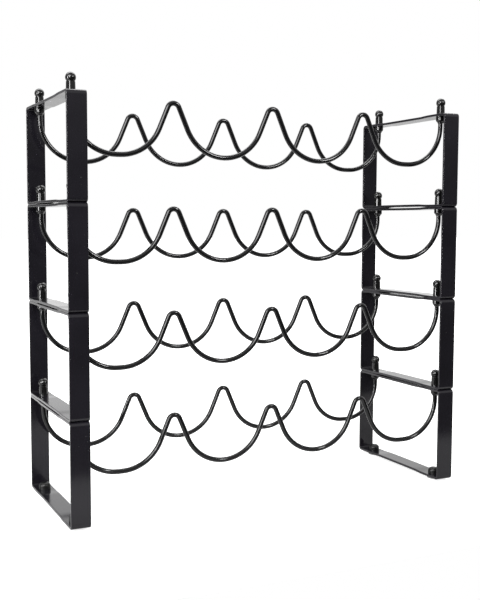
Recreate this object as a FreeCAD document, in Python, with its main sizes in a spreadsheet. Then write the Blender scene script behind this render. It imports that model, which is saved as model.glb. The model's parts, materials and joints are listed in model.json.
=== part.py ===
"""Stackable wine rack: four bolted tiers of two strip-steel end frames and two wave-bent wires.

Frame: X runs along the row of bottles, -Y is the front, Z is up. The origin is on the floor, under
the middle of the rack. Lengths are in millimetres.
"""
import FreeCAD
import Part
import math
import os

import Sketcher
from FreeCAD import Vector

# Driving sizes, one spreadsheet row each: alias, value, meaning.
SIZES = (
    ("rack_width", 430.0, "outside width over both end frames, along X"),
    ("rack_depth", 160.0, "outside depth of an end frame, along Y"),
    ("tier_height", 100.0, "outside height of an end frame, which is one tier"),
    ("strip_width", 19.0, "width of the flat steel strip, along X"),
    ("strip_thickness", 2.5, "thickness of the flat steel strip"),
    ("bend_radius", 4.0, "outside radius of the strip's four bends"),
    ("edge_round", 0.45, "rounding of the strip's long edges"),
    ("bow", 0.6, "how far an end frame's long runs are bowed in between the bolts"),
    ("bow_reach", 52.0, "from the middle of a long run to where its bow begins"),
    ("crown_reach", 32.0, "from the middle of a long run to where its bow is full"),
    ("bolt_inset", 20.0, "from an end frame's front or back face to its bolt axis"),
    ("bolt_hole", 5.5, "clearance hole in the strip"),
    ("wire_diameter", 5.0, "diameter of the wave wire"),
    ("bottle_pitch", 106.0, "from one bottle to the next, along X"),
    ("valley_level", 45.0, "height of the wire's axis in a valley, over the tier's underside"),
    ("peak_level", 95.0, "height of the wire's axis at a peak, over the tier's underside"),
    ("valley_radius", 42.0, "bend radius of the wire's axis in a valley"),
    ("peak_radius", 6.0, "bend radius of the wire's axis at a peak"),
    ("ferrule_diameter", 10.0, "outside diameter of the ferrule on a wire end"),
    ("ferrule_length", 6.0, "length of the ferrule"),
    ("ferrule_taper", 2.2, "height of the ferrule's tapered foot"),
    ("ferrule_foot", 6.6, "diameter of the ferrule's lower face"),
    ("socket_diameter", 5.1, "bore that takes the wire end"),
    ("socket_depth", 1.6, "depth of that bore"),
    ("stud_diameter", 4.5, "M5 thread, drawn at its pitch diameter"),
    ("thread_bore", 4.6, "tapped hole that takes the stud"),
    ("thread_reach", 4.1, "length of stud inside the part that it screws into"),
    ("tip_chamfer", 0.5, "chamfer at a stud's tip"),
    ("ball_diameter", 10.0, "ball of the finial"),
    ("ball_level", 12.5, "height of the ball's centre over the finial's seat"),
    ("neck_base", 9.0, "diameter of the finial's neck at its seat"),
    ("neck_top", 8.6, "diameter of the finial's neck under the ball"),
    ("neck_height", 8.7, "height of the neck's cylindrical side"),
    ("waist_diameter", 7.8, "groove between neck and ball"),
    ("foot_diameter", 14.0, "diameter of a foot pad"),
    ("foot_height", 2.5, "thickness of a foot pad"),
    ("foot_chamfer", 0.4, "chamfer round a foot pad's lower face"),
    ("head_diameter", 8.0, "head of the foot screw, inside the pad"),
    ("head_level", 0.8, "height of the head's underside over the floor"),
    ("head_thickness", 1.0, "thickness of the head"),
    ("cap_diameter", 12.0, "diameter of the domed cap nut"),
    ("cap_side", 3.0, "height of the cap nut's straight side"),
    ("cap_height", 7.0, "height of the cap nut over the strip"),
    ("cap_bore", 5.0, "depth of the cap nut's tapped hole"),
)

TIERS = (1, 2, 3, 4)
SIDES = (("left", -1), ("right", 1))
ROWS = (("front", -1), ("back", 1))


class Size:
    """A length together with the spreadsheet expression that gives it."""

    def __init__(self, value, text):
        self.value = value
        self.text = text

    @staticmethod
    def of(number):
        return number if isinstance(number, Size) else Size(float(number), str(float(number)))

    def __add__(self, other):
        other = Size.of(other)
        return Size(self.value + other.value, f"({self.text} + {other.text})")

    def __sub__(self, other):
        other = Size.of(other)
        return Size(self.value - other.value, f"({self.text} - {other.text})")

    def __mul__(self, factor):
        return Size(self.value * factor, f"({self.text} * {float(factor)})")

    def __truediv__(self, divisor):
        return Size(self.value / divisor, f"({self.text} / {float(divisor)})")

    def __neg__(self):
        return Size(-self.value, f"(0 - {self.text})")


def make_sheet(doc):
    """Fills the spreadsheet and returns each alias as a Size."""
    sheet = doc.addObject("Spreadsheet::Sheet", "Sizes")
    sizes = {}
    for row, (alias, value, meaning) in enumerate(SIZES, start=1):
        sheet.set(f"A{row}", alias)
        sheet.set(f"B{row}", str(value))
        sheet.set(f"C{row}", meaning)
        sheet.setAlias(f"B{row}", alias)
        sizes[alias] = Size(value, f"Sizes.{alias}")
    return sizes


doc = FreeCAD.newDocument("wine_rack")
sizes = make_sheet(doc)
doc.recompute()

# Places that several pieces share.
bolt_x = (sizes["rack_width"] - sizes["strip_width"]) / 2
bolt_y = sizes["rack_depth"] / 2 - sizes["bolt_inset"]
wire_end_level = (
    sizes["tier_height"] - sizes["strip_thickness"] - sizes["ferrule_length"] + sizes["socket_depth"]
)

subparts = []


def make_body(name):
    """Starts one sub-part, whose Label is also the name of its file."""
    body = doc.addObject("PartDesign::Body", name)
    body.Label = name
    subparts.append(body)
    return body


def place(body, x, y, z):
    """Binds a body's position to the spreadsheet."""
    for axis, size in (("x", x), ("y", y), ("z", z)):
        body.setExpression(f"Placement.Base.{axis}", Size.of(size).text)


def make_sketch(body, name, plane_role):
    """Adds a sketch on one of the body's own origin planes."""
    sketch = body.newObject("Sketcher::SketchObject", name)
    plane = next(item for item in body.Origin.OriginFeatures if item.Role == plane_role)
    sketch.AttachmentSupport = [(plane, "")]
    sketch.MapMode = "FlatFace"
    return sketch


def bind_constraint(sketch, constraint, size):
    index = sketch.addConstraint(constraint)
    sketch.setExpression(f"Constraints[{index}]", size.text)


def pin(sketch, geometry, point, across, up):
    """Fixes a point of the sketch at signed distances from the sketch's origin."""
    origin = (-1, 1)
    for kind, size, zero_axis in (("DistanceX", across, -2), ("DistanceY", up, -1)):
        size = Size.of(size)
        if size.value == 0:
            sketch.addConstraint(Sketcher.Constraint("PointOnObject", geometry, point, zero_axis))
        elif size.value > 0:
            bind_constraint(
                sketch, Sketcher.Constraint(kind, *origin, geometry, point, size.value), size
            )
        else:
            bind_constraint(
                sketch, Sketcher.Constraint(kind, geometry, point, *origin, -size.value), -size
            )


def bind_radius(sketch, geometry, size):
    bind_constraint(sketch, Sketcher.Constraint("Radius", geometry, size.value), size)


def draw_circle(sketch, across, up, radius):
    centre = Vector(Size.of(across).value, Size.of(up).value, 0)
    geometry = sketch.addGeometry(Part.Circle(centre, Vector(0, 0, 1), radius.value))
    pin(sketch, geometry, 3, across, up)
    bind_radius(sketch, geometry, radius)


def draw_outline(sketch, corners):
    """Draws a closed outline of straight lines through corners, pairs of Sizes."""
    points = [Vector(Size.of(across).value, Size.of(up).value, 0) for across, up in corners]
    count = len(points)
    for index in range(count):
        sketch.addGeometry(Part.LineSegment(points[index], points[(index + 1) % count]))
        pin(sketch, index, 1, *corners[index])
    for index in range(count):
        sketch.addConstraint(Sketcher.Constraint("Coincident", index, 2, (index + 1) % count, 1))


def draw_bowed_run(sketch, half_length, level, inward):
    """Draws a long side of an end frame from left to right, and returns its first and last lines.

    Its ends are flat, for the bolts. Two equal tangent arcs at each end of the bow lead to its
    straight middle.
    """
    bow = sizes["bow"]
    reach = sizes["bow_reach"]
    crown_reach = sizes["crown_reach"]
    crown = level + bow * inward
    step = reach - crown_reach
    radius = Size(
        (step.value ** 2 + bow.value ** 2) / (4 * bow.value),
        f"({step.text} ^ 2 + {bow.text} ^ 2) / (4 * {bow.text})",
    )
    turned = math.asin(step.value / (2 * radius.value))
    rising_centre = level.value + inward * radius.value
    crown_centre = crown.value - inward * radius.value

    def add_flat(start, end, height):
        ends = [Vector(across.value, height.value, 0) for across in (start, end)]
        line = sketch.addGeometry(Part.LineSegment(*ends))
        pin(sketch, line, 1, start, height)
        pin(sketch, line, 2, end, height)
        return line, 1, 2

    def add_arc(across, centre, before, after):
        """Adds an arc that turns by before and after across. Returns it, its left and right ends."""
        if centre > level.value:
            span = (1.5 * math.pi - before, 1.5 * math.pi + after)
            ends = (1, 2)
        else:
            span = (0.5 * math.pi - after, 0.5 * math.pi + before)
            ends = (2, 1)
        circle = Part.Circle(Vector(across.value, centre, 0), Vector(0, 0, 1), radius.value)
        return sketch.addGeometry(Part.ArcOfCircle(circle, *span)), *ends

    first = add_flat(-half_length, -reach, level)
    left_rise = add_arc(-reach, rising_centre, 0, turned)
    left_crown = add_arc(-crown_reach, crown_centre, turned, 0)
    middle = add_flat(-crown_reach, crown_reach, crown)
    right_crown = add_arc(crown_reach, crown_centre, 0, turned)
    right_rise = add_arc(reach, rising_centre, turned, 0)
    last = add_flat(reach, half_length, level)
    chain = [first, left_rise, left_crown, middle, right_crown, right_rise, last]
    for (piece, _, right_end), (following, left_end, _) in zip(chain, chain[1:]):
        sketch.addConstraint(
            Sketcher.Constraint("Tangent", piece, right_end, following, left_end)
        )
    for rise, _, _ in (left_rise, right_rise):
        bind_radius(sketch, rise, radius)
    return first[0], last[0]


def draw_loop(sketch, half_length, low, high):
    """Draws an end frame's outline: two bowed long runs, joined by upright ends."""
    lower_first, lower_last = draw_bowed_run(sketch, half_length, low, 1)
    upper_first, upper_last = draw_bowed_run(sketch, half_length, high, -1)
    for lower, upper, point in ((lower_first, upper_first, 1), (lower_last, upper_last, 2)):
        ends = (sketch.getPoint(lower, point), sketch.getPoint(upper, point))
        upright = sketch.addGeometry(Part.LineSegment(*ends))
        sketch.addConstraint(Sketcher.Constraint("Coincident", upright, 1, lower, point))
        sketch.addConstraint(Sketcher.Constraint("Coincident", upright, 2, upper, point))


def turn(body, corners):
    """Makes a turned piece: the outline on the XZ plane, revolved about Z."""
    profile = make_sketch(body, "Profile", "XZ_Plane")
    draw_outline(profile, corners)
    revolution = body.newObject("PartDesign::Revolution", "Turned")
    revolution.Profile = profile
    revolution.ReferenceAxis = (profile, ["V_Axis"])
    revolution.Angle = 360
    doc.recompute()
    return revolution


def edge_names(shape, chosen):
    return [f"Edge{index}" for index, edge in enumerate(shape.Edges, start=1) if chosen(edge)]


def add_fillet(body, base, name, radius, chosen):
    """Rounds the chosen edges of the base feature."""
    fillet = body.newObject("PartDesign::Fillet", name)
    fillet.Base = (base, edge_names(base.Shape, chosen))
    fillet.setExpression("Radius", radius.text)
    doc.recompute()
    return fillet


# End frame: one loop of flat strip, upright in the YZ plane, with a bolt hole near each end of its
# top and bottom runs. Those runs bow in a little between the bolts, so that bolted tiers touch only
# at their ends. The body's origin is level with its underside, in the middle.
def make_end_frame(name):
    body = make_body(name)
    height = sizes["tier_height"]
    half_depth = sizes["rack_depth"] / 2
    wall = sizes["strip_thickness"]
    loop = make_sketch(body, "Loop", "YZ_Plane")
    draw_loop(loop, half_depth, Size.of(0), height)
    strip = body.newObject("PartDesign::Pad", "Block")
    strip.Profile = loop
    strip.Midplane = True
    strip.setExpression("Length", sizes["strip_width"].text)

    window = make_sketch(body, "Window", "YZ_Plane")
    draw_loop(window, half_depth - wall, wall, height - wall)
    opening = body.newObject("PartDesign::Pocket", "Opening")
    opening.Profile = window
    opening.Type = "ThroughAll"
    opening.Midplane = True
    doc.recompute()

    def runs_along_x(edge):
        return abs(edge.tangentAt(edge.FirstParameter).x) > 0.99

    def is_corner(edge, depth):
        return runs_along_x(edge) and abs(abs(edge.CenterOfMass.y) - depth.value) < 1e-4

    def outer_corner(edge):
        return is_corner(edge, half_depth)

    def inner_corner(edge):
        return is_corner(edge, half_depth - wall)

    def long_edge(edge):
        return edge.BoundBox.XLength < 1e-4

    bends = add_fillet(body, opening, "OuterBends", sizes["bend_radius"], outer_corner)
    bends = add_fillet(body, bends, "InnerBends", sizes["bend_radius"] - wall, inner_corner)
    rounded = add_fillet(body, bends, "RolledEdges", sizes["edge_round"], long_edge)

    drilling = make_sketch(body, "Drilling", "XY_Plane")
    for _, row in ROWS:
        draw_circle(drilling, 0, bolt_y * row, sizes["bolt_hole"] / 2)
    holes = body.newObject("PartDesign::Pocket", "BoltHoles")
    holes.Profile = drilling
    holes.Type = "ThroughAll"
    holes.Reversed = True
    doc.recompute()
    assert holes.Shape.Volume < rounded.Shape.Volume, f"{name}: the bolt holes cut nothing"
    return body


# Wave wire: one rod bent in the XZ plane into four valleys and three peaks, with upright ends. Its
# path is straight runs and tangent arcs. The body's origin is level with the ends, midway.
def make_wave_wire(name):
    body = make_body(name)
    valley_radius = sizes["valley_radius"]
    peak_radius = sizes["peak_radius"]
    pitch = sizes["bottle_pitch"]
    valley_depth = wire_end_level - sizes["valley_level"] - valley_radius
    peak_depth = wire_end_level - sizes["peak_level"] + peak_radius
    valley_row = -valley_depth.value
    peak_row = -peak_depth.value

    # The flank between a valley and a peak is the crossed tangent of their two circles.
    rise = peak_row - valley_row
    run = pitch.value / 2
    flank = math.atan2(rise, run) + math.asin(
        (valley_radius.value + peak_radius.value) / math.hypot(rise, run)
    )
    bottom = 1.5 * math.pi
    top = 0.5 * math.pi

    path = make_sketch(body, "Path", "XZ_Plane")

    def add_arc(across, row, radius, first, last):
        circle = Part.Circle(Vector(across, row, 0), Vector(0, 0, 1), radius.value)
        arc = path.addGeometry(Part.ArcOfCircle(circle, first, last))
        bind_radius(path, arc, radius)
        return arc

    def add_line(start, end):
        return path.addGeometry(Part.LineSegment(start, end))

    def end_point(geometry, point):
        return path.getPoint(geometry, point)

    # Arcs run anticlockwise, so a valley is met at its start and left at its end, and a peak the
    # other way round. Each entry is (geometry, point met, point left), from left to right.
    end_centre = bolt_x.value - valley_radius.value
    left_quarter = add_arc(-end_centre, valley_row, valley_radius, math.pi, bottom)
    waves = []
    valleys = []
    peaks = []
    for place_along in (-3, -2, -1, 0, 1, 2, 3):
        across = place_along * run
        if place_along % 2:
            first = bottom if place_along == -3 else bottom - flank
            last = bottom if place_along == 3 else bottom + flank
            arc = add_arc(across, valley_row, valley_radius, first, last)
            valleys.append(arc)
            waves.append((arc, 1, 2))
        else:
            arc = add_arc(across, peak_row, peak_radius, top - flank, top + flank)
            peaks.append(arc)
            waves.append((arc, 2, 1))
    right_quarter = add_arc(end_centre, valley_row, valley_radius, bottom, 2 * math.pi)
    chain = [(left_quarter, 1, 2)] + waves + [(right_quarter, 1, 2)]

    # A straight run joins each arc to the next one, tangent to both.
    for (arc, _, leaving), (next_arc, meeting, _) in zip(chain, chain[1:]):
        line = add_line(end_point(arc, leaving), end_point(next_arc, meeting))
        path.addConstraint(Sketcher.Constraint("Tangent", arc, leaving, line, 1))
        path.addConstraint(Sketcher.Constraint("Tangent", line, 2, next_arc, meeting))
        if arc == left_quarter or next_arc == right_quarter:
            path.addConstraint(Sketcher.Constraint("Horizontal", line))

    # The upright ends.
    for quarter, point, side in ((left_quarter, 1, -1), (right_quarter, 2, 1)):
        foot = end_point(quarter, point)
        line = add_line(foot, Vector(foot.x, 0, 0))
        path.addConstraint(Sketcher.Constraint("Tangent", quarter, point, line, 1))
        path.addConstraint(Sketcher.Constraint("Vertical", line))
        pin(path, line, 2, bolt_x * side, 0)

    # Places of the circles: the right half is dimensioned, the left half mirrors it.
    pin(path, valleys[3], 3, pitch * 1.5, -valley_depth)
    pin(path, valleys[2], 3, pitch / 2, -valley_depth)
    pin(path, peaks[2], 3, pitch, -peak_depth)
    pin(path, peaks[1], 3, 0, -peak_depth)
    for left, right in ((valleys[0], valleys[3]), (valleys[1], valleys[2]), (peaks[0], peaks[2])):
        path.addConstraint(Sketcher.Constraint("Symmetric", left, 3, right, 3, -2))

    section = make_sketch(body, "Section", "XY_Plane")
    draw_circle(section, -bolt_x, 0, sizes["wire_diameter"] / 2)
    rod = body.newObject("PartDesign::AdditivePipe", "Rod")
    rod.Profile = section
    rod.Spine = (path, [])
    return body


# Ferrule: the threaded bush welded on a wire end, under the strip. Its origin is its upper face.
def make_ferrule(name):
    body = make_body(name)
    outer = sizes["ferrule_diameter"] / 2
    foot = sizes["ferrule_foot"] / 2
    length = sizes["ferrule_length"]
    socket_top = length - sizes["socket_depth"]
    taper_top = length - sizes["ferrule_taper"]
    thread = sizes["thread_bore"] / 2
    socket = sizes["socket_diameter"] / 2
    turn(body, (
        (thread, 0),
        (outer, 0),
        (outer, -taper_top),
        ((outer * 2 + foot) / 3, -(taper_top + sizes["ferrule_taper"] / 2)),
        (foot, -length),
        (socket, -length),
        (socket, -socket_top),
        (thread, -socket_top),
    ))
    return body


# Finial: ball, neck and stud in one piece. Its origin is its seat on the strip, and its stud
# passes through one strip on the top tier and through two where tiers are bolted together.
def make_finial(name, strips):
    body = make_body(name)
    stud = sizes["stud_diameter"] / 2
    stud_end = sizes["strip_thickness"] * strips + sizes["thread_reach"]
    chamfer = sizes["tip_chamfer"]
    waist = sizes["waist_diameter"] / 2
    neck_top = sizes["neck_top"] / 2
    turn(body, (
        (0, sizes["ball_level"]),
        (0, -stud_end),
        (stud - chamfer, -stud_end),
        (stud, -(stud_end - chamfer)),
        (stud, 0),
        (sizes["neck_base"] / 2, 0),
        (neck_top, sizes["neck_height"]),
        (waist, sizes["neck_height"] + neck_top - waist),
        (waist, sizes["ball_level"]),
    ))
    ball = body.newObject("PartDesign::AdditiveSphere", "Ball")
    ball.setExpression("Radius", (sizes["ball_diameter"] / 2).text)
    ball.setExpression("Placement.Base.z", sizes["ball_level"].text)
    return body


# Foot pad: rubber moulded over the head of its screw. Its origin is the middle of its underside.
def make_foot_pad(name):
    body = make_body(name)
    pad = sizes["foot_diameter"] / 2
    chamfer = sizes["foot_chamfer"]
    head = sizes["head_diameter"] / 2
    head_top = sizes["head_level"] + sizes["head_thickness"]
    stud = sizes["stud_diameter"] / 2
    turn(body, (
        (0, 0),
        (pad - chamfer, 0),
        (pad, chamfer),
        (pad, sizes["foot_height"]),
        (stud, sizes["foot_height"]),
        (stud, head_top),
        (head, head_top),
        (head, sizes["head_level"]),
        (0, sizes["head_level"]),
    ))
    return body


# Foot screw: its flat head is sealed in the pad, and its stud stands up through the lowest strip
# into the cap nut. It has the pad's origin.
def make_foot_screw(name):
    body = make_body(name)
    head = sizes["head_diameter"] / 2
    head_top = sizes["head_level"] + sizes["head_thickness"]
    stud = sizes["stud_diameter"] / 2
    chamfer = sizes["tip_chamfer"]
    stud_top = sizes["foot_height"] + sizes["strip_thickness"] + sizes["thread_reach"]
    turn(body, (
        (0, sizes["head_level"]),
        (head, sizes["head_level"]),
        (head, head_top),
        (stud, head_top),
        (stud, stud_top - chamfer),
        (stud - chamfer, stud_top),
        (0, stud_top),
    ))
    return body


# Cap nut: the domed nut that holds a foot. Its origin is its seat on the lowest strip.
def make_cap_nut(name):
    body = make_body(name)
    outer = sizes["cap_diameter"] / 2
    bore = sizes["thread_bore"] / 2
    height = sizes["cap_height"]
    blank = turn(body, (
        (0, height),
        (0, sizes["cap_bore"]),
        (bore, sizes["cap_bore"]),
        (bore, 0),
        (outer, 0),
        (outer, height),
    ))

    def upper_rim(edge):
        return abs(edge.CenterOfMass.z - height.value) < 1e-4

    add_fillet(body, blank, "Dome", height - sizes["cap_side"], upper_rim)
    return body


# Assembly: the tiers stand on each other, strip on strip, and the lowest one stands on its feet.
top_tier = TIERS[-1]
for tier in TIERS:
    underside = sizes["foot_height"] + sizes["tier_height"] * (tier - 1)
    top = underside + sizes["tier_height"]
    for side_name, side in SIDES:
        place(make_end_frame(f"end_frame_{side_name}_{tier}"), bolt_x * side, 0, underside)
    for row_name, row in ROWS:
        wire = make_wave_wire(f"wave_wire_{row_name}_{tier}")
        place(wire, 0, bolt_y * row, underside + wire_end_level)
        for side_name, side in SIDES:
            corner = f"{row_name}_{side_name}_{tier}"
            strips = 1 if tier == top_tier else 2
            seat = top + sizes["strip_thickness"] * (strips - 1)
            ferrule = make_ferrule(f"ferrule_{corner}")
            place(ferrule, bolt_x * side, bolt_y * row, top - sizes["strip_thickness"])
            finial = make_finial(f"ball_finial_{corner}", strips)
            place(finial, bolt_x * side, bolt_y * row, seat)

for row_name, row in ROWS:
    for side_name, side in SIDES:
        corner = f"{row_name}_{side_name}"
        place(make_foot_pad(f"foot_pad_{corner}"), bolt_x * side, bolt_y * row, 0)
        place(make_foot_screw(f"foot_screw_{corner}"), bolt_x * side, bolt_y * row, 0)
        strip_top = sizes["foot_height"] + sizes["strip_thickness"]
        place(make_cap_nut(f"cap_nut_{corner}"), bolt_x * side, bolt_y * row, strip_top)

doc.recompute()

faults = [item.Label for item in doc.Objects if {"Invalid", "Error"} & set(item.State)]
assert not faults, f"objects failed to compute: {faults}"
for body in subparts:
    shape = body.Shape
    assert not shape.isNull() and shape.isValid(), f"{body.Label}: bad shape"
    assert len(shape.Solids) == 1, f"{body.Label}: {len(shape.Solids)} solids"

os.makedirs("parts", exist_ok=True)
for body in subparts:
    body.Shape.exportStep(os.path.join("parts", f"{body.Label}.step"))
print(f"{len(subparts)} sub-parts written")
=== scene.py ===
"""Finishes, weld beads and studio for the wine rack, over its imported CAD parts.

Lengths are in metres, in the part's own frame: X along the row of bottles, -Y the front, Z up.
"""
import json
import math

import bmesh
import bpy
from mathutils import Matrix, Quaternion, Vector


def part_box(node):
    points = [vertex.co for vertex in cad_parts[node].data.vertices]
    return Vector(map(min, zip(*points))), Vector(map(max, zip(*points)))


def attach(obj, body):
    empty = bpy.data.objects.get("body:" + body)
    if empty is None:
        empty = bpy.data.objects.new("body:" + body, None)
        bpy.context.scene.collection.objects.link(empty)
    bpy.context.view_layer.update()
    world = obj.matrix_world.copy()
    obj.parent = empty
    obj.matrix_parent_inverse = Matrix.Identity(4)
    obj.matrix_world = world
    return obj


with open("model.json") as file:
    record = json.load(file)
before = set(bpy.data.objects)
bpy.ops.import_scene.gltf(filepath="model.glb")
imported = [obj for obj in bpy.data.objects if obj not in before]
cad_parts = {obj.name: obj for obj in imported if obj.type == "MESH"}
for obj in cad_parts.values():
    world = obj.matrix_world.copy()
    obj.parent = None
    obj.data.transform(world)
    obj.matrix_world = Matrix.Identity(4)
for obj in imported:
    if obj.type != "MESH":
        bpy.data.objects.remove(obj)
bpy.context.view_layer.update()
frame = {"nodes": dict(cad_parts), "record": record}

NODES = frame["nodes"]
SLOT_OF = {part["node"]: part["material_slot"] for part in frame["record"]["subparts"]}

# Brightness of the studio in reflections, where 1 is plain white: in front of the rack,
# behind it and overhead.
DIM, BACKDROP, OVERHEAD = 0.12, 1.2, 0.9

DUST = (0.014, 0.014, 0.014)


# Materials. Every pattern is laid out in the piece's own object space, in metres.
class Shader:
    """Builds a material's node tree around one Principled shader."""

    def __init__(self, name):
        self.material = bpy.data.materials.new(name)
        self.material.use_nodes = True
        self.tree = self.material.node_tree
        self.surface = self.tree.nodes["Principled BSDF"]
        self.place = self.add("ShaderNodeTexCoord").outputs["Object"]

    def add(self, kind, **settings):
        node = self.tree.nodes.new(kind)
        for name, value in settings.items():
            setattr(node, name, value)
        return node

    def link(self, source, target):
        self.tree.links.new(source, target)

    def noise(self, size, detail=2.0, roughness=0.5):
        """Noise whose features are about size metres across, from 0 to 1."""
        node = self.add("ShaderNodeTexNoise")
        node.inputs["Scale"].default_value = 1.0 / size
        node.inputs["Detail"].default_value = detail
        node.inputs["Roughness"].default_value = roughness
        self.link(self.place, node.inputs["Vector"])
        return node.outputs["Fac"]

    def spread(self, value, low, high, start=0.3, end=0.7):
        """Maps a value from the range start to end onto the range low to high."""
        node = self.add("ShaderNodeMapRange", clamp=True)
        for name, number in (
            ("From Min", start), ("From Max", end), ("To Min", low), ("To Max", high)
        ):
            node.inputs[name].default_value = number
        self.link(value, node.inputs["Value"])
        return node.outputs["Result"]

    def mix(self, share, first, second):
        """Mixes two colours, given as linear RGB or as sockets."""
        node = self.add("ShaderNodeMix", data_type="RGBA")
        self.link(share, node.inputs["Factor"])
        for socket, colour in ((node.inputs[6], first), (node.inputs[7], second)):
            if isinstance(colour, tuple):
                socket.default_value = (*colour, 1.0)
            else:
                self.link(colour, socket)
        return node.outputs[2]

    def relief(self, height, depth, under=None):
        """Bumps the surface by a 0 to 1 height times depth metres, over an earlier relief."""
        node = self.add("ShaderNodeBump")
        node.inputs["Strength"].default_value = 1.0
        node.inputs["Distance"].default_value = depth
        self.link(height, node.inputs["Height"])
        if under is not None:
            self.link(under, node.inputs["Normal"])
        return node.outputs["Normal"]

    def finish(self, colour, roughness, normal, **constants):
        """Feeds the shader, sets its constants by socket name and returns the material."""
        self.link(colour, self.surface.inputs["Base Color"])
        self.link(roughness, self.surface.inputs["Roughness"])
        self.link(normal, self.surface.inputs["Normal"])
        for name, value in constants.items():
            self.surface.inputs[name].default_value = value
        return self.material


def powder_coat(name, colour, roughness, peel_size, peel_depth, specular):
    """Black powder coat: orange peel, cloudy gloss, and a few specks of dust."""
    cloud_size = 0.045
    cloud_lightening = 1.5
    glossier, duller = 0.75, 1.4
    # A speck is a peak of fine noise: only the highest values count.
    speck_spacing = 0.0022
    speck_edge, speck_core = 0.85, 0.89
    speck_roughness = 0.2
    grain_share, grain_depth_share = 1 / 4, 1 / 6

    shader = Shader(name)
    cloud = shader.noise(cloud_size, detail=3.0)
    grain = shader.noise(peel_size * grain_share, detail=2.0)
    peel = shader.noise(peel_size, detail=1.0)
    dots = shader.noise(speck_spacing, detail=0.0)
    specks = shader.spread(dots, 0.0, 1.0, speck_edge, speck_core)
    lighter = tuple(channel * cloud_lightening for channel in colour)
    coat = shader.mix(shader.spread(cloud, 0.0, 1.0), colour, lighter)
    base = shader.mix(specks, coat, DUST)
    gloss = shader.spread(cloud, roughness * glossier, roughness * duller)
    dulled = shader.add("ShaderNodeMath", operation="MULTIPLY_ADD")
    shader.link(specks, dulled.inputs[0])
    dulled.inputs[1].default_value = speck_roughness
    shader.link(gloss, dulled.inputs[2])
    bumps = shader.relief(peel, peel_depth)
    bumps = shader.relief(grain, peel_depth * grain_depth_share, bumps)
    return shader.finish(
        base, dulled.outputs["Value"], bumps, **{"Specular IOR Level": specular}
    )


def rubber(name, colour):
    """Matt rubber: a fine grain with faint mottling."""
    mottle_size, mottle_darkening = 0.004, 0.8
    grain_size, grain_depth = 0.0004, 0.00003
    smoothest, roughest = 0.5, 0.7

    shader = Shader(name)
    mottle = shader.noise(mottle_size, detail=3.0)
    grain = shader.noise(grain_size, detail=2.0)
    darker = tuple(channel * mottle_darkening for channel in colour)
    base = shader.mix(shader.spread(mottle, 0.0, 1.0), colour, darker)
    return shader.finish(
        base,
        shader.spread(grain, smoothest, roughest),
        shader.relief(grain, grain_depth),
        **{"Specular IOR Level": 0.4},
    )


def zinc_plate(name, bright, dull):
    """Zinc plating: metal with a fine spangle of brighter and duller patches."""
    spangle_size = 0.0011
    grain_size, grain_depth = 0.0003, 0.000006
    dull_roughness, bright_roughness = 0.42, 0.26

    shader = Shader(name)
    spangle = shader.noise(spangle_size, detail=3.0, roughness=0.65)
    grain = shader.noise(grain_size, detail=1.0)
    base = shader.mix(shader.spread(spangle, 0.0, 1.0), dull, bright)
    return shader.finish(
        base,
        shader.spread(spangle, dull_roughness, bright_roughness),
        shader.relief(grain, grain_depth),
        Metallic=1.0,
    )


BLACK = (0.0020, 0.0020, 0.0020)
BLUE_BLACK = (0.0020, 0.0020, 0.0022)
# Each coat: colour, roughness, size and depth of the orange peel, specular level.
MATERIALS = {
    "strip_coating": powder_coat(
        "strip_coat", (0.0042, 0.0038, 0.0052), 0.12, 0.0016, 0.000002, 0.32
    ),
    "wire_coating": powder_coat(
        "wire_coat", (0.0016, 0.0016, 0.0018), 0.07, 0.0012, 0.000001, 0.34
    ),
    "ferrule_coating": powder_coat("ferrule_coat", BLUE_BLACK, 0.08, 0.0012, 0.000001, 0.40),
    "finial_coating": powder_coat("finial_coat", BLACK, 0.05, 0.0015, 0.000001, 0.40),
    "nut_coating": powder_coat("nut_coat", BLACK, 0.30, 0.0012, 0.000001, 0.22),
    "pad_rubber": rubber("pad_rubber", (0.14, 0.14, 0.14)),
    "screw_steel": zinc_plate("screw_zinc", (0.66, 0.67, 0.70), (0.46, 0.47, 0.49)),
}

for node, piece in NODES.items():
    piece.data.materials.clear()
    piece.data.materials.append(MATERIALS[SLOT_OF[node]])


# Weld beads: the ring of weld that joins each wire end to the foot of its ferrule.
WIRE_RADIUS = 0.0025
BEAD_RADIUS = 0.00325
BEAD_HEIGHT = 0.0013
BEAD_EMBEDDED = 0.0003
BEAD_AROUND, BEAD_STEPS = 96, 10
RIPPLES, RIPPLE_DEPTH = 14, 0.00010
RIPPLE_START = 0.15
SWELL_POWER = 0.8
# How much farther the bead runs down the wire on two of its sides.
SAG_DEPTH = 0.00012
# How far each bead's ripples are turned from those of the one before, in radians.
RIPPLE_SHIFT = 1.7


def bead_section(angle, top, ripple_turn):
    """The bead's outline at one angle, as radius and level, from the ferrule to the wire."""
    ripple = RIPPLE_DEPTH * math.sin(RIPPLES * angle + ripple_turn)
    sag = SAG_DEPTH * math.sin(2 * angle + 2 * ripple_turn)
    section = [(WIRE_RADIUS - BEAD_EMBEDDED, top + BEAD_EMBEDDED)]
    for step in range(BEAD_STEPS + 1):
        share = step / BEAD_STEPS
        swell = math.cos(share * math.pi / 2) ** SWELL_POWER
        # The ripples are deepest a third of the way down and fade out towards the wire.
        fading = math.sin(math.pi * min(share + RIPPLE_START, 1.0))
        radius = WIRE_RADIUS + (BEAD_RADIUS - WIRE_RADIUS) * swell + ripple * fading
        section.append((radius, top - (BEAD_HEIGHT + sag) * share))
    section.append((WIRE_RADIUS - BEAD_EMBEDDED, top - BEAD_HEIGHT - sag))
    return section


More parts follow.
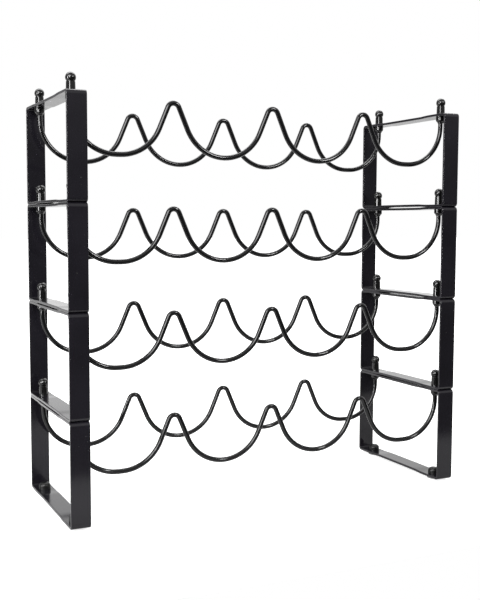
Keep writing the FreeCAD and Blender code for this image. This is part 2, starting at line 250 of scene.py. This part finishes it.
def make_weld_bead(name, centre, top, ripple_turn):
    """A closed ring round the wire, rippled where the weld was laid down in small steps."""
    mesh_builder = bmesh.new()
    rings = []
    for turn in range(BEAD_AROUND):
        angle = math.tau * turn / BEAD_AROUND
        rings.append([
            mesh_builder.verts.new((
                centre.x + radius * math.cos(angle), centre.y + radius * math.sin(angle), level
            ))
            for radius, level in bead_section(angle, top, ripple_turn)
        ])
    for ring, following in zip(rings, rings[1:] + rings[:1]):
        for index in range(len(ring)):
            after = (index + 1) % len(ring)
            face = mesh_builder.faces.new((
                ring[index], ring[after], following[after], following[index]
            ))
            face.smooth = True
    bmesh.ops.recalc_face_normals(mesh_builder, faces=mesh_builder.faces)
    mesh = bpy.data.meshes.new(name)
    mesh_builder.to_mesh(mesh)
    mesh_builder.free()
    mesh.materials.append(MATERIALS["ferrule_coating"])
    bead = bpy.data.objects.new(name, mesh)
    bpy.context.scene.collection.objects.link(bead)
    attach(bead, "root")


for count, node in enumerate(sorted(name for name in NODES if name.startswith("ferrule_"))):
    low, high = (Vector(corner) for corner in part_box(node))
    bead_name = node.replace("ferrule", "weld_bead")
    make_weld_bead(bead_name, (low + high) / 2, low.z, RIPPLE_SHIFT * count)


# Studio.
def make_floor():
    """A pale floor that reaches to the horizon on three sides and ends a little in front of the rack.

    It is plain white in view. In reflections it is greyer round the rack than far behind it.
    """
    front_edge = -0.26
    reach = 15.0
    # Along Y, the near grey ends and the far grey starts at these places.
    near_grey, far_grey = (0.50, 0.50, 0.50), (0.90, 0.90, 0.90)
    near_end, far_start = 0.15, 0.9
    fibre_size, fibre_depth = 0.01, 0.00002
    smoothest, roughest = 0.85, 0.95
    # The light that whitens the floor in view.
    glow = 0.75
    mesh = bpy.data.meshes.new("floor")
    corners = ((-reach, front_edge), (reach, front_edge), (reach, reach), (-reach, reach))
    mesh.from_pydata([(x, y, 0.0) for x, y in corners], [], [(0, 1, 2, 3)])
    floor = bpy.data.objects.new("floor", mesh)
    bpy.context.scene.collection.objects.link(floor)
    shader = Shader("floor_paper")
    fibre = shader.noise(fibre_size)
    axes = shader.add("ShaderNodeSeparateXYZ")
    shader.link(shader.place, axes.inputs["Vector"])
    distance = shader.spread(axes.outputs["Y"], 0.0, 1.0, near_end, far_start)
    base = shader.mix(distance, near_grey, far_grey)
    material = shader.finish(
        base,
        shader.spread(fibre, smoothest, roughest),
        shader.relief(fibre, fibre_depth),
        **{"Specular IOR Level": 0.1},
    )
    shader.surface.inputs["Emission Color"].default_value = (1.0, 1.0, 1.0, 1.0)
    whitened = shader.add("ShaderNodeMath", operation="MULTIPLY")
    shader.link(shader.add("ShaderNodeLightPath").outputs["Is Camera Ray"], whitened.inputs[0])
    whitened.inputs[1].default_value = glow
    shader.link(whitened.outputs["Value"], shader.surface.inputs["Emission Strength"])
    mesh.materials.append(material)


def make_softbox(name, place, target_level, width, height, radiance):
    """A rectangular light, aimed at the rack's middle axis at the given level."""
    target = Vector((0, 0, target_level))
    data = bpy.data.lights.new(name, "AREA")
    data.shape = "RECTANGLE"
    data.size = width
    data.size_y = height
    data.energy = radiance * math.pi * width * height
    light = bpy.data.objects.new(name, data)
    bpy.context.scene.collection.objects.link(light)
    light.location = place
    light.rotation_mode = "QUATERNION"
    light.rotation_quaternion = (target - Vector(place)).to_track_quat("-Z", "Y")
    light.visible_camera = False


def make_world():
    """White in view. In reflections it is bright overhead and behind the rack, and dim in front."""
    world = bpy.data.worlds.new("studio")
    bpy.context.scene.world = world
    world.use_nodes = True
    tree = world.node_tree
    tree.nodes.clear()
    add = tree.nodes.new
    link = tree.links.new

    def ramp(value, start, end, low, high):
        node = add("ShaderNodeMapRange")
        node.interpolation_type = "SMOOTHSTEP"
        for name, number in (
            ("From Min", start), ("From Max", end), ("To Min", low), ("To Max", high)
        ):
            node.inputs[name].default_value = number
        link(value, node.inputs["Value"])
        return node.outputs["Result"]

    def brighter(first, second):
        node = add("ShaderNodeMath")
        node.operation = "MAXIMUM"
        link(first, node.inputs[0])
        link(second, node.inputs[1])
        return node.outputs["Value"]

    direction = add("ShaderNodeTexCoord").outputs["Generated"]
    axes = add("ShaderNodeSeparateXYZ")
    link(direction, axes.inputs[0])
    # The backdrop stands behind the rack and ends a little to its left.
    to_left = math.radians(10.5)
    blur = 0.02
    # The sines of the angles behind and above at which the light is full.
    full_behind, full_above = 0.4, 0.32
    edge = add("ShaderNodeVectorMath")
    edge.operation = "DOT_PRODUCT"
    link(direction, edge.inputs[0])
    edge.inputs[1].default_value = (math.cos(to_left), math.sin(to_left), 0.0)
    inside = ramp(edge.outputs["Value"], -blur, blur, 0.0, 1.0)
    facing = ramp(axes.outputs["Y"], 0.0, full_behind, 0.0, 1.0)
    both = add("ShaderNodeMath")
    both.operation = "MULTIPLY"
    link(inside, both.inputs[0])
    link(facing, both.inputs[1])
    behind = ramp(both.outputs["Value"], 0.0, 1.0, DIM, BACKDROP)
    above = ramp(axes.outputs["Z"], 0.0, full_above, DIM, OVERHEAD)
    studio = add("ShaderNodeBackground")
    link(brighter(behind, above), studio.inputs["Strength"])
    backdrop = add("ShaderNodeBackground")
    backdrop.inputs["Strength"].default_value = 1.0
    seen = add("ShaderNodeMixShader")
    link(add("ShaderNodeLightPath").outputs["Is Camera Ray"], seen.inputs["Fac"])
    link(studio.outputs[0], seen.inputs[1])
    link(backdrop.outputs[0], seen.inputs[2])
    for background in (studio, backdrop):
        background.inputs["Color"].default_value = (1.0, 1.0, 1.0, 1.0)
    link(seen.outputs[0], add("ShaderNodeOutputWorld").inputs["Surface"])


def make_camera():
    """The photo's camera, at the front left and a little above the rack's middle."""
    azimuth = math.radians(-25.25)
    elevation = math.radians(4.66)
    roll = math.radians(0.18)
    forward = Vector((
        -math.sin(azimuth) * math.cos(elevation),
        math.cos(azimuth) * math.cos(elevation),
        -math.sin(elevation),
    ))
    data = bpy.data.cameras.new("camera")
    data.sensor_width = 36.0
    data.lens = 56.66
    camera = bpy.data.objects.new("camera", data)
    bpy.context.scene.collection.objects.link(camera)
    camera.location = (-0.4362, -0.9096, 0.2842)
    camera.rotation_mode = "QUATERNION"
    camera.rotation_quaternion = forward.to_track_quat("-Z", "Y") @ Quaternion((0, 0, 1), roll)
    bpy.context.scene.camera = camera


make_floor()
make_world()
# Each light: place, level it is aimed at, width, height, radiance.
make_softbox("key_softbox", (-0.98, -0.98, 1.05), 0.25, 1.2, 0.6, 12.0)
make_softbox("left_strip", (-1.45, -0.32, 0.30), 0.30, 0.14, 0.6, 75.0)
make_softbox("front_strip", (-0.95, -1.00, 0.52), 0.38, 0.22, 0.36, 34.0)
make_softbox("right_softbox", (0.62, -1.20, 0.85), 0.25, 0.22, 0.22, 50.0)
make_softbox("top_softbox", (0.0, 0.40, 1.35), 0.25, 2.0, 0.22, 12.0)
make_camera()
bpy.context.scene.view_settings.view_transform = "Standard"
